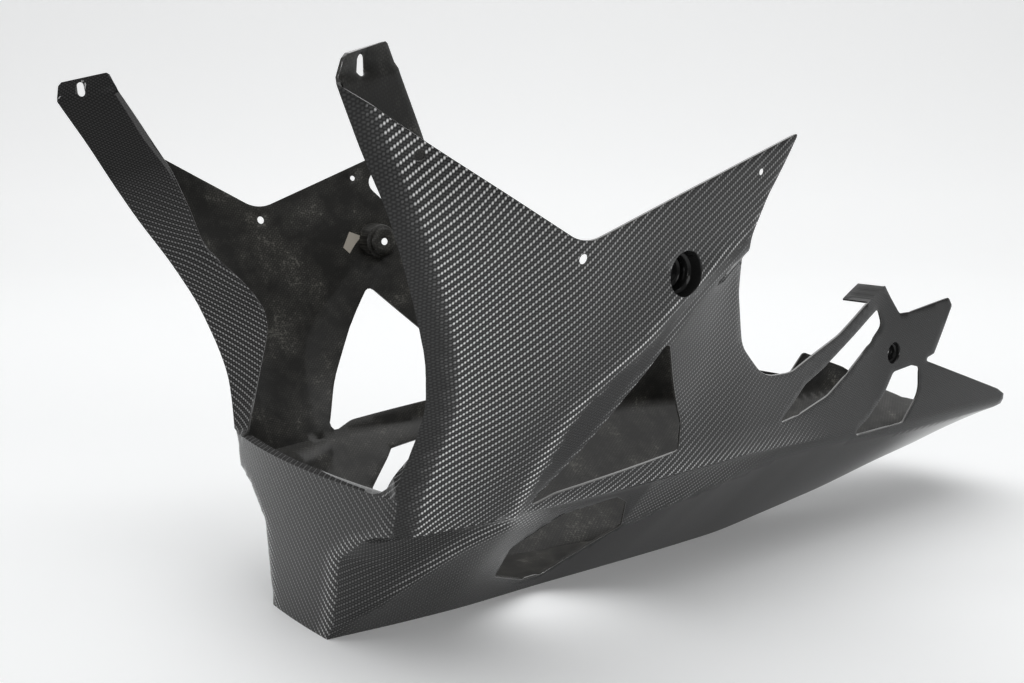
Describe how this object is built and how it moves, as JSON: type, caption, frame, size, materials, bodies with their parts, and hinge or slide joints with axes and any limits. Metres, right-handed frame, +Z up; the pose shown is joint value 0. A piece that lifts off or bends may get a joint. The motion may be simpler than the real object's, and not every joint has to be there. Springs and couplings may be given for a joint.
{
  "type": "motorcycle belly pan",
  "caption": "Moulded carbon-fibre motorcycle belly pan: two swept flanks with side windows and slotted front tabs, a keeled underside with vents, and a finned left tail.",
  "frame": {"origin": "on the floor under the middle of the bounding box; the flat keel strip rests on z = 0", "axes": "+X forward, +Y to the rider's left, +Z up"},
  "size_m": [0.8624, 0.492, 0.415],
  "materials": {
    "laminate": "clear-coated 2x2 twill carbon fibre, rough inside"
  },
  "bodies": {
    "root": {"belly_pan_shell": "laminate"}
  },
  "joints": []
}
